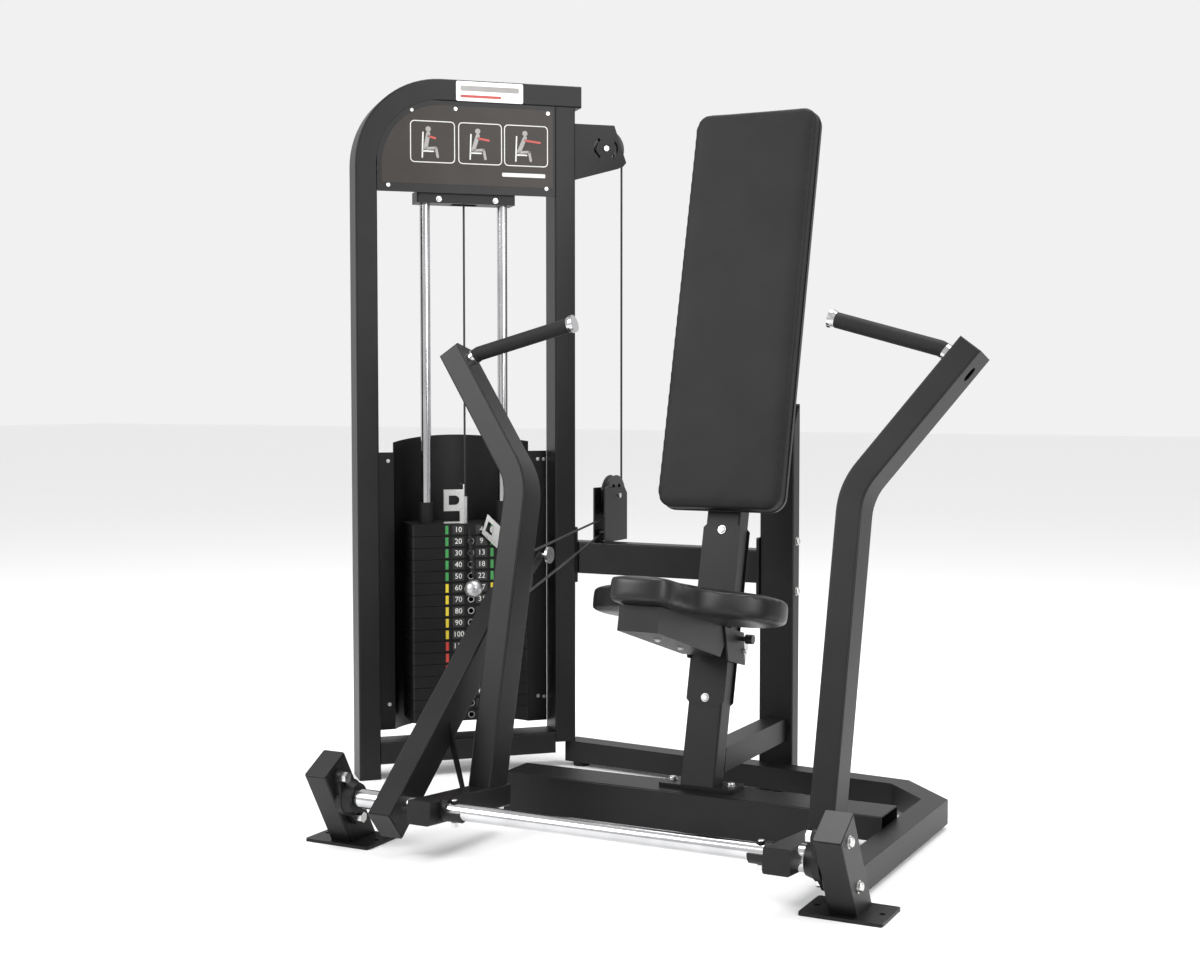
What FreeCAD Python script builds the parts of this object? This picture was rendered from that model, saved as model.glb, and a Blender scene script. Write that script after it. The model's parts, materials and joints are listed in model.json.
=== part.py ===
import FreeCAD, Part
import os
from math import sin, cos, tan, acos, atan2, radians, pi
from FreeCAD import Vector as V, Placement, Rotation

# Selectorised chest press machine, millimetres, +Z up, floor at z = 0.
# X = 0 is the middle plane of the seat, +X is the user's left-hand side as
# they sit facing -Y. Y = 0 is the swing axis of the press arms.

os.makedirs("parts", exist_ok=True)

# ---------------------------------------------------------------- dimensions
TUBE = 50.0            # narrow side of the frame tubes
TUBE_DEEP = 75.0       # wide side of the mast, pivot post and crossbeam tubes
WALL = 3.0             # tube wall
CORNER = 4.0           # outside corner radius of a tube
PIVOT_Z = 101.0        # height of the swing axis
LEAN = 14.0            # backward lean of the mast and of the press arms, degrees
BEAM_TOP = 60.0        # top of the side and rear base beams
FRONT_TUBE_TOP = 84.0  # top of the cross tube that carries the mast
ARM_X = 359.0          # middle of each press arm from the seat plane
LEVER_X = -442.0       # middle plane of the lever
SHAFT_R = 15.0
RUNNING = 0.05         # radial clearance of a shaft in its bore
CABLE_R = 2.5

TOWER_X, TOWER_Y = -864.0, 473.0   # near lower corner of the weight tower
TOWER_TURN = 45.0                  # the tower stands diagonally to the seat
TOWER_LENGTH = 519.0
TOWER_DEPTH = 80.0
TOWER_TOP = 1607.0
TOWER_BEND = 200.0                 # outside radius of the bent corner

PLATE_PITCH = 27.0
PLATES_LIFTED = 5                  # plates above the selector pin
PLATES_TOTAL = 16                  # plates below the top plate
STACK_BOTTOM = 129.0
ROD_R = 12.0
ROD_SPACING = 184.0
STACK_MID = TOWER_LENGTH / 2
STACK_Y = TOWER_DEPTH / 2

MAST_FOOT = V(0, 428, FRONT_TUBE_TOP + 8)
SEAT_AT = 352.0                    # middle of the seat pad along the mast
PAD_LENGTH, PAD_WIDTH, PAD_THICK = 871.0, 276.0, 46.0

parts = {}


# ------------------------------------------------------------------- helpers
def add(name, *solids):
    """Keep the solids as one named piece; a second call adds to the group."""
    group = parts.get(name, Part.Shape())
    pieces = (group.Solids if not group.isNull() else []) + [s for x in solids for s in x.Solids]
    parts[name] = pieces[0] if len(pieces) == 1 else Part.makeCompound(pieces)


def box(x0, x1, y0, y1, z0, z1):
    return Part.makeBox(x1 - x0, y1 - y0, z1 - z0, V(x0, y0, z0))


def cyl(r, p0, p1):
    """Round bar between two points."""
    axis = V(*p1) - V(*p0)
    return Part.makeCylinder(r, axis.Length, V(*p0), axis)


def segment(start, end):
    """Straight edge."""
    return Part.LineSegment(start, end).toShape()


def edges_along(shape, direction):
    """Straight edges parallel to a direction."""
    found = []
    for edge in shape.Edges:
        if len(edge.Vertexes) == 2:
            run = edge.Vertexes[1].Point - edge.Vertexes[0].Point
            if run.Length > 1e-6 and abs(run.normalize().dot(direction)) > 0.999:
                found.append(edge)
    return found


def soft_box(x0, x1, y0, y1, z0, z1, r, along):
    """Box whose edges along one axis are rounded."""
    block = box(x0, x1, y0, y1, z0, z1)
    return block.makeFillet(r, edges_along(block, along))


def tube(x0, x1, y0, y1, z0, z1, along):
    """Rectangular tube, open at both ends along one axis."""
    outer = soft_box(x0, x1, y0, y1, z0, z1, CORNER, along)
    gap = [0.0 if along[i] else WALL for i in range(3)]
    run = [1.0 if along[i] else 0.0 for i in range(3)]
    inner = box(x0 + gap[0] - run[0], x1 - gap[0] + run[0],
                y0 + gap[1] - run[1], y1 - gap[1] + run[1],
                z0 + gap[2] - run[2], z1 - gap[2] + run[2])
    return outer.cut(inner)


def tilt(shape, degrees_about_x, origin):
    """Stand a shape made at the origin on a point, turned about X."""
    moved = shape.copy()
    moved.Placement = Placement(V(*origin), Rotation(V(1, 0, 0), degrees_about_x)) * moved.Placement
    return moved


def on_mast(shape):
    """Mast frame: z runs up the mast, y = 0 is its front face."""
    return tilt(shape, -LEAN, MAST_FOOT)


def in_tower(shape):
    """Tower frame: x runs along the tower, y = 0 is its near face."""
    moved = shape.copy()
    turned = Placement(V(TOWER_X, TOWER_Y, 0), Rotation(V(0, 0, 1), TOWER_TURN))
    moved.Placement = turned * moved.Placement
    return moved


def tower_point(s, depth, z):
    c = cos(radians(TOWER_TURN))
    return V(TOWER_X + (s - depth) * c, TOWER_Y + (s + depth) * c, z)


def polygon(points, plane):
    """Closed outline; plane maps two numbers to a 3-D point."""
    corners = [plane(*p) for p in points]
    return Part.makePolygon(corners + [corners[0]])


def plate(points, plane, thickness):
    """Flat plate cut to an outline and extruded by a vector."""
    return Part.Face(polygon(points, plane)).extrude(thickness)


def bent_path(points, radii):
    """Straight runs joined by tangent arcs; radii holds one value per corner."""
    pts = [V(*p) for p in points]
    edges = []
    start = pts[0]
    for i in range(1, len(pts) - 1):
        u = (pts[i] - pts[i - 1]).normalize()
        w = (pts[i + 1] - pts[i]).normalize()
        turn = u.getAngle(w)
        back = radii[i - 1] * tan(turn / 2)
        a = pts[i] - u * back
        b = pts[i] + w * back
        inward = (w - u).normalize()
        centre = pts[i] + inward * (radii[i - 1] / cos(turn / 2))
        mid = centre - inward * radii[i - 1]
        edges.append(Part.LineSegment(start, a).toShape())
        edges.append(Part.Arc(a, mid, b).toShape())
        start = b
    edges.append(Part.LineSegment(start, pts[-1]).toShape())
    return Part.Wire(edges)


def round_bar(points, radii, r):
    """Round bar or cable swept along a bent path."""
    path = bent_path(points, radii)
    first = V(*points[1]) - V(*points[0])
    ring = Part.Wire(Part.makeCircle(r, V(*points[0]), first))
    return path.makePipeShell([ring], True, True)


def bolt(p, direction, r, head):
    """Domed bolt head with a washer, seated at p and standing along a direction."""
    d = V(*direction).normalize()
    p = V(*p)
    washer = Part.makeCylinder(r * 1.25, 1.5, p, d)
    dome = Part.makeCylinder(r, head, p + d * 1.5, d)
    rim = [e for e in dome.Edges if e.Length > 1 and
           abs((e.CenterOfMass - (p + d * (1.5 + head))).Length) < 0.5]
    return washer.fuse(dome.makeFillet(head * 0.6, rim)).removeSplitter()


def pulley(centre, axis, r, width, bore):
    """Grooved cable wheel; r is the radius at the bottom of the groove."""
    rim, half = r + 6.0, width / 2
    outline = [(bore, -half), (rim, -half), (rim, -half + 2), (r, -2.6), (r, 2.6),
               (rim, half - 2), (rim, half), (bore, half)]
    wire = polygon(outline, lambda a, b: V(a, 0, b))
    wheel = Part.Face(wire).revolve(V(0, 0, 0), V(0, 0, 1), 360)
    for k in range(5):
        a = 2 * pi * k / 5
        at = V(cos(a), sin(a), 0) * (r * 0.6)
        wheel = wheel.cut(Part.makeCylinder(r * 0.17, width + 2, at - V(0, 0, half + 1)))
    wheel.Placement = Placement(V(*centre), Rotation(V(0, 0, 1), V(*axis)))
    return wheel


def hex_nut(p, direction, across, height):
    """Hexagonal nut seated at p."""
    corners = []
    for k in range(6):
        a = pi / 3 * k
        corners.append((across / 2 / cos(pi / 6) * cos(a), across / 2 / cos(pi / 6) * sin(a)))
    nut = plate(corners, lambda a, b: V(a, b, 0), V(0, 0, height))
    nut.Placement = Placement(V(*p), Rotation(V(0, 0, 1), V(*direction)))
    return nut


X, Y, Z = V(1, 0, 0), V(0, 1, 0), V(0, 0, 1)

# ---------------------------------------------------------------- base frame
SIDE_OUT = 452.0           # outer face of the side beam
CORNER_A = V(SIDE_OUT, 677, 0)
CORNER_B = V(330, 809, 0)
REAR_END = V(-520, 887.4, 0)
BEAM_LOW = BEAM_TOP - TUBE
FRONT_TUBE_Y = (390.0, 492.0)
POST_Y = (838.0, 878.0)
POST_X = (-28.0, 52.0)


def inset(p, q, r, amount):
    """Corner q of a path p-q-r moved inwards by an amount."""
    a = (q - p).normalize()
    b = (r - q).normalize()
    na, nb = V(-a.y, a.x, 0), V(-b.y, b.x, 0)
    middle = (na + nb).normalize()
    return q + middle * (amount / middle.dot(na))


def beam_ring(outer, inner, z0, z1):
    """Mitred beam between two matching edges."""
    outline = [outer[0], outer[1], inner[1], inner[0]]
    return Part.Face(Part.makePolygon([V(p.x, p.y, z0) for p in outline + [outline[0]]])).extrude(
        V(0, 0, z1 - z0))


def base_beams():
    start = V(SIDE_OUT, 85, 0)
    route = [start, CORNER_A, CORNER_B, REAR_END]

    def offset(amount):
        n_first = V(-1, 0, 0)
        run = (REAR_END - CORNER_B).normalize()
        return [start + n_first * amount, inset(start, CORNER_A, CORNER_B, amount),
                inset(CORNER_A, CORNER_B, REAR_END, amount),
                REAR_END + V(-run.y, run.x, 0) * amount]

    edge, inner = route, offset(TUBE)
    hollow_a, hollow_b = offset(WALL), offset(TUBE - WALL)
    names = ["side_beam", "corner_beam", "rear_beam"]
    for i, name in enumerate(names):
        body = beam_ring(edge[i:i + 2], inner[i:i + 2], BEAM_LOW, BEAM_TOP)
        void = beam_ring(hollow_a[i:i + 2], hollow_b[i:i + 2], BEAM_LOW + WALL, BEAM_TOP - WALL)
        yield name, body.cut(void)


front_tube = tube(-432, SIDE_OUT - TUBE, *FRONT_TUBE_Y, FRONT_TUBE_TOP - TUBE, FRONT_TUBE_TOP, X)
for name, body in base_beams():
    add(name, body)
add("front_cross_tube", front_tube)
kick = plate([(FRONT_TUBE_Y[0] - 0.5, FRONT_TUBE_TOP - 1), (FRONT_TUBE_Y[0] - 4, FRONT_TUBE_TOP - 1),
              (FRONT_TUBE_Y[0] - 14, 2), (FRONT_TUBE_Y[0] - 10, 2)],
             lambda y, z: V(-425, y, z), V(715, 0, 0))
add("kick_plate", kick)

# Pivot posts: short leaning tubes on bolted foot plates.
BLOCKS = {"left": -587.0, "right": 453.0}
BLOCK_LEAN = 30.0
FOOT = dict(w=150.0, y0=0.0, y1=108.0, t=6.0, hole=5.5, spacing=117.0)
BEARING_DEEP = 30.0
BOLT_HALF = 51.5
for side, x in BLOCKS.items():
    body = tilt(tube(-TUBE / 2, TUBE / 2, -TUBE_DEEP / 2, TUBE_DEEP / 2, -170, 78, Z),
                BLOCK_LEAN, (x, 5, PIVOT_Z))
    body = body.cut(box(x - 100, x + 100, -200, 300, -200, FOOT["t"]))
    cap = tilt(soft_box(-TUBE / 2 + 1, TUBE / 2 - 1, -TUBE_DEEP / 2 + 1, TUBE_DEEP / 2 - 1, 78, 81, 3, Z),
               BLOCK_LEAN, (x, 5, PIVOT_Z))
    add("pivot_post_" + side, body)
    add("pivot_caps", cap)
    foot = soft_box(x - FOOT["w"] / 2, x + FOOT["w"] / 2, FOOT["y0"], FOOT["y1"], 0, FOOT["t"], 5, Z)
    for sign in (-1, 1):
        foot = foot.cut(cyl(FOOT["hole"], (x + sign * FOOT["spacing"] / 2, 54, -1),
                            (x + sign * FOOT["spacing"] / 2, 54, 10)))
    add("foot_plates", foot)
    inward = 1 if side == "left" else -1
    face = x + inward * TUBE / 2

    # Two-bolt flange bearing with an oval flange and a round boss.
    slab = Part.makeCylinder(36, 13, V(0, 0, 0), X)
    for sign in (-1, 1):
        slab = slab.fuse(Part.makeCylinder(15, 13, V(0, 0, sign * BOLT_HALF), X))
        slab = slab.fuse(plate([(-30, 0), (30, 0), (14, sign * BOLT_HALF), (-14, sign * BOLT_HALF)],
                               lambda a, b: V(0, a, b), V(13, 0, 0)))
    housing = slab.fuse(Part.makeCone(34, 29, BEARING_DEEP - 13, V(13, 0, 0), X)).removeSplitter()
    housing = housing.cut(Part.makeCylinder(SHAFT_R + RUNNING, 60, V(-5, 0, 0), X))
    if inward < 0:
        housing = housing.mirror(V(0, 0, 0), X)
    add("flange_bearing_" + side, tilt(housing, BLOCK_LEAN, (face, 0, PIVOT_Z)))

bolts, nuts = [], []
for side, x in BLOCKS.items():
    inward = 1 if side == "left" else -1
    for sign in (-1, 1):
        at = V(0, -sin(radians(BLOCK_LEAN)), cos(radians(BLOCK_LEAN))) * (sign * BOLT_HALF)
        outside = V(x - inward * TUBE / 2, at.y, PIVOT_Z + at.z)
        inside = V(x + inward * (TUBE / 2 + 13), at.y, PIVOT_Z + at.z)
        bolts.append(bolt(outside, (-inward, 0, 0), 9, 7))
        nuts.append(hex_nut(inside, (inward, 0, 0), 19, 11))
add("bearing_fasteners", *bolts, *nuts)

post_space = tilt(box(-TUBE / 2, TUBE / 2, -TUBE_DEEP / 2, TUBE_DEEP / 2, -170, 78),
                  BLOCK_LEAN, (BLOCKS["right"], 5, PIVOT_Z))
parts["side_beam"] = parts["side_beam"].cut(post_space)

# ------------------------------------------------------- mast, post, crossbeam
mast_length = 1010.0
mast = on_mast(tube(-TUBE_DEEP / 2, TUBE_DEEP / 2, 0, TUBE, -30, mast_length, Z))
mast = mast.cut(box(-100, 100, 300, 700, -100, MAST_FOOT.z))
add("mast", mast)
base_plate = soft_box(-85, 80, 424, 492, FRONT_TUBE_TOP, MAST_FOOT.z, 6, Z)
add("mast", base_plate)


def mast_rear(z):
    """Y of the mast's rear face at a height."""
    return MAST_FOOT.y + (z - MAST_FOOT.z) * tan(radians(LEAN)) + TUBE / cos(radians(LEAN))


BRACE_Z = (112.0, 162.0)
brace = plate([(mast_rear(BRACE_Z[0]), BRACE_Z[0]), (POST_Y[0], BRACE_Z[0]),
               (POST_Y[0], BRACE_Z[1]), (mast_rear(BRACE_Z[1]), BRACE_Z[1])],
              lambda y, z: V(-12.5, y, z), V(TUBE, 0, 0))
brace_void = box(-12.5 + WALL, 37.5 - WALL, 400, 900, BRACE_Z[0] + WALL, BRACE_Z[1] - WALL)
add("mast_brace", brace.cut(brace_void))

POST_TOP = 868.0
post = tube(*POST_X, *POST_Y, 4, POST_TOP, Z)
cut_top = plate([(POST_Y[0] - 10, POST_TOP - 70), (POST_Y[1] + 2, POST_TOP + 1),
                 (POST_Y[0] - 10, POST_TOP + 30)],
                lambda y, z: V(-100, y, z), V(300, 0, 0))
post = post.cut(cut_top)
parts["rear_beam"] = parts["rear_beam"].cut(box(*POST_X, *POST_Y, 0, 200))
add("rear_post", post)
add("base_feet", soft_box(POST_X[0] - 3, POST_X[1] + 3, POST_Y[0], POST_Y[1] + 6, 0, 4, 3, Z))
for x, y in ((-490, 857), (300, 790)):
    add("base_feet", cyl(20, (x, y, 0), (x, y, BEAM_LOW)))

CROSS_Y = (838.0, 888.0)
CROSS_Z = (463.0, 538.0)
end_a = tower_point(TOWER_LENGTH + 6, 0, 0)
end_b = tower_point(TOWER_LENGTH + 6, TOWER_DEPTH, 0)


def end_x(y):
    """X of the tower's rear end face, flange included, at a given Y."""
    return end_a.x + (end_b.x - end_a.x) * (y - end_a.y) / (end_b.y - end_a.y)


cross = tube(-600, POST_X[0] - 6, *CROSS_Y, *CROSS_Z, X)
mitre = plate([(-700, 800), (end_x(800), 800), (end_x(920), 920), (-700, 920)],
              lambda x, y: V(x, y, 400), V(0, 0, 300))
add("crossbeam", cross.cut(mitre))
flange_tower = in_tower(soft_box(TOWER_LENGTH, TOWER_LENGTH + 6, 2, TOWER_DEPTH - 2, 440, 572, 5, X))
flange_post = soft_box(POST_X[0] - 6, POST_X[0], POST_Y[0] - 6, POST_Y[1] + 20, 436, 566, 5, X)
add("crossbeam", flange_tower, flange_post)

# -------------------------------------------------------------- weight tower
beam_z = TOWER_TOP - TUBE
rear_s = TOWER_LENGTH - TUBE


def bent_profile(edge_in):
    """Inverted J outline: front upright bent over into the top beam."""
    e = edge_in
    r_out = TOWER_BEND - e
    r_in = TOWER_BEND - TUBE + e
    c = V(TOWER_BEND, 0, TOWER_TOP - TOWER_BEND)
    k = cos(pi / 4)
    end = TOWER_LENGTH + 15
    pts = [V(e, 0, 0), V(e, 0, c.z), V(c.x, 0, TOWER_TOP - e), V(end, 0, TOWER_TOP - e),
           V(end, 0, beam_z + e), V(c.x, 0, beam_z + e), V(TUBE - e, 0, c.z), V(TUBE - e, 0, 0)]
    arc_out = Part.Arc(pts[1], c + V(-r_out * k, 0, r_out * k), pts[2]).toShape()
    arc_in = Part.Arc(pts[5], c + V(-r_in * k, 0, r_in * k), pts[6]).toShape()
    runs = {a: segment(pts[a], pts[b]) for a, b in ((0, 1), (2, 3), (3, 4), (4, 5), (6, 7), (7, 0))}
    return Part.Wire([runs[0], arc_out, runs[2], runs[3], runs[4], arc_in, runs[6], runs[7]])


outer = Part.Face(bent_profile(0)).extrude(V(0, TOWER_DEPTH, 0))
long_edges = [e for e in outer.Edges if abs(e.BoundBox.YLength) < 1e-6
              and e.BoundBox.ZMax > 1 and e.BoundBox.XMin < TOWER_LENGTH + 10]
outer = outer.makeFillet(CORNER, long_edges)
void = Part.Face(bent_profile(WALL)).extrude(V(0, TOWER_DEPTH - 2 * WALL, 0))
void.translate(V(0, WALL, 0))
add("tower_bent_tube", in_tower(outer.cut(void)))
upright = tube(rear_s, TOWER_LENGTH, 0, TOWER_DEPTH, BEAM_TOP, beam_z, Z)
cable_run_z = 1469 + 44.5
upright = upright.cut(cyl(8, (rear_s - 5, STACK_Y, cable_run_z), (TOWER_LENGTH + 5, STACK_Y, cable_run_z)))
add("tower_rear_upright", in_tower(upright))
add("tower_bottom_beam", in_tower(tube(TUBE, rear_s, 0, TOWER_DEPTH, 34, 84, X)))
parts["rear_beam"] = parts["rear_beam"].cut(in_tower(box(0, rear_s, -200, 200, 0, 200)))

# The placard fills the space under the bend; the corner beyond the tube is left out.
placard = soft_box(TUBE, rear_s, 0.5, 3.5, 1348, beam_z, 2, Y).cut(outer)
add("placard", in_tower(max(placard.Solids, key=lambda solid: solid.Volume)))
screw_places = [(75, 1362), (448, 1366), (232, 1540), (452, 1540)]
add("small_screws", *[in_tower(bolt((s, 0.5, z), (0, -1, 0), 3.5, 2)) for s, z in screw_places])

rod_s = [STACK_MID - ROD_SPACING / 2, STACK_MID + ROD_SPACING / 2]
ROD_TOP = 1340.0
for s in rod_s:
    add("guide_rods", in_tower(cyl(ROD_R, (s, STACK_Y, 84), (s, STACK_Y, ROD_TOP))))
bracket = soft_box(STACK_MID - 116, STACK_MID + 116, 10, 70, 1326, 1352, 4, Z)
for s in rod_s:
    bracket = bracket.cut(cyl(ROD_R, (s, STACK_Y, 1300), (s, STACK_Y, ROD_TOP)))
bracket = bracket.cut(box(STACK_MID - 30, STACK_MID + 30, 20, 60, 1320, 1360))
add("rod_top_bracket", in_tower(bracket))
add("frame_bolts", *[in_tower(bolt((s, 10, 1335), (0, -1, 0), 5, 4)) for s in (194, 328)])
hanger = [box(s, s + 30, 10, 15, 1352, beam_z) for s in (205, 355)]
add("rod_top_bracket", *[in_tower(h) for h in hanger])

stops = []
for s in rod_s:
    foot_ring = cyl(22, (s, STACK_Y, 84), (s, STACK_Y, STACK_BOTTOM - 0.5))
    stops.append(in_tower(foot_ring.cut(cyl(ROD_R, (s, STACK_Y, 80), (s, STACK_Y, 140)))))
add("stack_bumpers", *stops)

# Curved sheet guard behind the stack with a screwed flange on each side.
SHROUD = dict(bottom=100.0, flange_top=752.0, crown=790.0, bulge=92.0, t=1.5, flange=46.0)
chord = TOWER_LENGTH / 2 - TUBE - SHROUD["flange"]
radius = (chord ** 2 + SHROUD["bulge"] ** 2) / (2 * SHROUD["bulge"])
flange_y = TOWER_DEPTH - 6
centre_y = flange_y + SHROUD["bulge"] - radius
height = SHROUD["crown"] - SHROUD["bottom"]
shell = Part.makeCylinder(radius, height, V(STACK_MID, centre_y, SHROUD["bottom"])).cut(
    Part.makeCylinder(radius - SHROUD["t"], height, V(STACK_MID, centre_y, SHROUD["bottom"])))
shell = shell.common(box(0, TOWER_LENGTH, flange_y, 300, 0, 900))
crown = Part.makeCylinder(900, 400, V(STACK_MID, -50, SHROUD["crown"] - 900), Y)
shroud = shell.common(crown)
for s0, s1 in ((TUBE + 1, STACK_MID - chord + 1.5), (STACK_MID + chord - 1.5, rear_s - 1)):
    shroud = shroud.fuse(box(s0, s1, flange_y, flange_y + SHROUD["t"],
                             SHROUD["bottom"], SHROUD["flange_top"]))
add("rear_shroud", in_tower(shroud.removeSplitter()))
shroud_screws = [(84, 732), (84, 160), (446, 732), (446, 160), (461, 732), (461, 158)]
add("small_screws", *[in_tower(bolt((s, TOWER_DEPTH - 7.5, z), (0, -1, 0), 3.5, 2))
                       for s, z in shroud_screws])

# Weight stack: top plate with selector rod, lifted plates, resting plates.
plate_w, plate_d = 275.0, 114.0
hole_r = ROD_R + 1.5


def weight(z, thick):
    slab = soft_box(STACK_MID - plate_w / 2, STACK_MID + plate_w / 2, STACK_Y - plate_d / 2,
                    STACK_Y + plate_d / 2, z, z + thick, 6, Z)
    for s in rod_s:
        slab = slab.cut(cyl(hole_r, (s, STACK_Y, z - 1), (s, STACK_Y, z + thick + 1)))
    return slab


def weight_with_slot(z):
    slab = weight(z, PLATE_PITCH - 1.0)
    slab = slab.cut(cyl(13.5, (STACK_MID, STACK_Y, z - 1), (STACK_MID, STACK_Y, z + PLATE_PITCH)))
    pin_z = z + PLATE_PITCH / 2
    return slab.cut(cyl(5.6, (STACK_MID, STACK_Y - plate_d, pin_z), (STACK_MID, STACK_Y, pin_z)))


stack_z = [STACK_BOTTOM + PLATE_PITCH * k for k in range(PLATES_TOTAL)]
resting = stack_z[:PLATES_TOTAL - PLATES_LIFTED]
lifted = stack_z[PLATES_TOTAL - PLATES_LIFTED:]
TOP_PLATE_Z = STACK_BOTTOM + PLATE_PITCH * PLATES_TOTAL
for z in lifted:
    add("lifted_plates", in_tower(weight_with_slot(z)))
add("resting_plates", *[in_tower(weight_with_slot(z)) for z in resting])
top_plate = weight(TOP_PLATE_Z, PLATE_PITCH)
top_plate = top_plate.cut(cyl(12, (STACK_MID, STACK_Y, TOP_PLATE_Z - 1),
                              (STACK_MID, STACK_Y, TOP_PLATE_Z + 40)))
add("top_plate", in_tower(top_plate))
selector = cyl(12, (STACK_MID, STACK_Y, STACK_BOTTOM + 3), (STACK_MID, STACK_Y, TOP_PLATE_Z + PLATE_PITCH))
pin_z = lifted[0] + PLATE_PITCH / 2
for z in stack_z:
    hole_z = z + PLATE_PITCH / 2
    selector = selector.cut(cyl(5.6, (STACK_MID, -40, hole_z), (STACK_MID, 90, hole_z)))
add("selector_rod", in_tower(selector))
front_y = STACK_Y - plate_d / 2
pin = cyl(5, (STACK_MID, front_y - 8, pin_z), (STACK_MID, STACK_Y + 12, pin_z))
knob = Part.makeSphere(21, V(STACK_MID, front_y - 26, pin_z)).fuse(
    cyl(9, (STACK_MID, front_y - 12, pin_z), (STACK_MID, front_y - 1, pin_z)))
add("selector_pin", in_tower(pin.fuse(knob).removeSplitter()))
bumper_rings = []
TOP_FACE = TOP_PLATE_Z + PLATE_PITCH
for s in rod_s:
    ring = cyl(17, (s, STACK_Y, TOP_FACE), (s, STACK_Y, TOP_FACE + 48))
    bumper_rings.append(in_tower(ring.cut(cyl(ROD_R + RUNNING, (s, STACK_Y, TOP_FACE - 1),
                                              (s, STACK_Y, TOP_FACE + 50)))))
add("guide_bushes", *bumper_rings)

# Plated brackets on the top plate: an upright yoke beside the cable terminal
# and a small square plate, turned on its corner, on a boss off the front face.
YOKE_Y = STACK_Y - 24
yoke = box(STACK_MID - 56, STACK_MID - 7, YOKE_Y, YOKE_Y + 3, TOP_FACE, TOP_FACE + 78)
yoke = yoke.cut(box(STACK_MID - 60, STACK_MID - 18, YOKE_Y - 5, YOKE_Y + 5, TOP_FACE + 3, TOP_FACE + 28))
yoke = yoke.cut(box(STACK_MID - 44, STACK_MID - 30, YOKE_Y - 5, YOKE_Y + 5, TOP_FACE + 42, TOP_FACE + 64))
yoke = yoke.cut(cyl(11, (STACK_MID - 30, 0, TOP_FACE + 53), (STACK_MID - 30, 40, TOP_FACE + 53)))
side_leg = box(STACK_MID - 10, STACK_MID - 7, YOKE_Y, STACK_Y + 14, TOP_FACE, TOP_FACE + 90)
add("cable_yoke", in_tower(yoke.fuse(side_leg).removeSplitter()))
square = plate([(283, 566), (297, 610), (332, 576), (319, 530)],
               lambda s, z: V(s, front_y - 12, z), V(0, 3, 0))
square = square.cut(plate([(291, 572), (299, 594), (313, 580), (306, 560)],
                          lambda s, z: V(s, front_y - 20, z), V(0, 20, 0)))
boss = cyl(9, (312, front_y - 9, TOP_PLATE_Z + 13), (312, front_y, TOP_PLATE_Z + 13))
add("cable_yoke", in_tower(square), in_tower(boss))
add("cable_yoke", in_tower(cyl(7, (STACK_MID, STACK_Y, TOP_FACE), (STACK_MID, STACK_Y, TOP_FACE + 60))))

# ---------------------------------------------------------- pulleys and cable
PULLEY_R = 42.0
TOP_AXLE_Z = 1469.0
REAR_AXLE_S = TOWER_LENGTH + 83.0
FRONT_AXLE_S = STACK_MID + PULLEY_R + CABLE_R
across = tower_point(0, 1, 0) - tower_point(0, 0, 0)
for name, axle_s in (("front_top_pulley", FRONT_AXLE_S), ("rear_top_pulley", REAR_AXLE_S)):
    add(name, pulley(tower_point(axle_s, STACK_Y, TOP_AXLE_Z), across, PULLEY_R, 18, 6 + RUNNING))
cheek_outline = [(TOWER_LENGTH, 1524), (TOWER_LENGTH + 104, 1524), (TOWER_LENGTH + 134, 1437),
                 (TOWER_LENGTH + 125, 1427), (TOWER_LENGTH, 1392)]
cheeks = []
for y in (STACK_Y - 17, STACK_Y + 13):
    cheek = plate(cheek_outline, lambda s, z: V(s, y, z), V(0, 4, 0))
    for k in (0, 1):
        ring = Part.makeCylinder(30, 10, V(REAR_AXLE_S, y - 3, TOP_AXLE_Z), Y, 110).cut(
            Part.makeCylinder(23, 10, V(REAR_AXLE_S, y - 3, TOP_AXLE_Z), Y, 360))
        ring.rotate(V(REAR_AXLE_S, 0, TOP_AXLE_Z), Y, 35 + 180 * k)
        cheek = cheek.cut(ring)
    cheek = cheek.cut(cyl(6, (REAR_AXLE_S, y - 1, TOP_AXLE_Z), (REAR_AXLE_S, y + 5, TOP_AXLE_Z)))
    cheeks.append(in_tower(cheek))
add("top_pulley_brackets", *cheeks)
front_bore = cyl(6, (FRONT_AXLE_S, 0, TOP_AXLE_Z), (FRONT_AXLE_S, TOWER_DEPTH, TOP_AXLE_Z))
front_cheeks = []
for y in (STACK_Y - 17, STACK_Y + 13):
    strap = box(FRONT_AXLE_S - 22, FRONT_AXLE_S + 22, y, y + 4, TOP_AXLE_Z - 22, beam_z)
    front_cheeks.append(in_tower(strap.cut(front_bore)))
add("top_pulley_brackets", *front_cheeks)

wrap_r = PULLEY_R + CABLE_R + 0.05
CABLE_X, cable_y, _ = tower_point(REAR_AXLE_S + wrap_r, STACK_Y, 0)
BLOCK_Y, BLOCK_Z = cable_y - wrap_r, 646.0   # axle of the pulley on the crossbeam
LEVER_REACH = 602.0                 # swing axis to the lever pulley
LEVER_RISE = 40.4                   # slope of the lever
lever_dir = V(0, cos(radians(LEVER_RISE)), sin(radians(LEVER_RISE)))
lever_axle = V(CABLE_X, 0, PIVOT_Z) + lever_dir * LEVER_REACH
add("block_pulley", pulley((CABLE_X, BLOCK_Y, BLOCK_Z), (1, 0, 0), PULLEY_R, 18, 6 + RUNNING))
add("lever_pulley", pulley(lever_axle, (1, 0, 0), PULLEY_R, 18, 6 + RUNNING))
ANCHOR = V(CABLE_X, 862, 560)
block_cheeks = []
for x in (CABLE_X - 16, CABLE_X + 12):
    side = plate([(842, CROSS_Z[1]), (958, CROSS_Z[1]), (958, 650), (944, 665), (842, 667)],
                 lambda y, z: V(x, y, z), V(4, 0, 0))
    block_cheeks.append(side.cut(cyl(6, (x - 1, BLOCK_Y, BLOCK_Z), (x + 5, BLOCK_Y, BLOCK_Z))))
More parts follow.
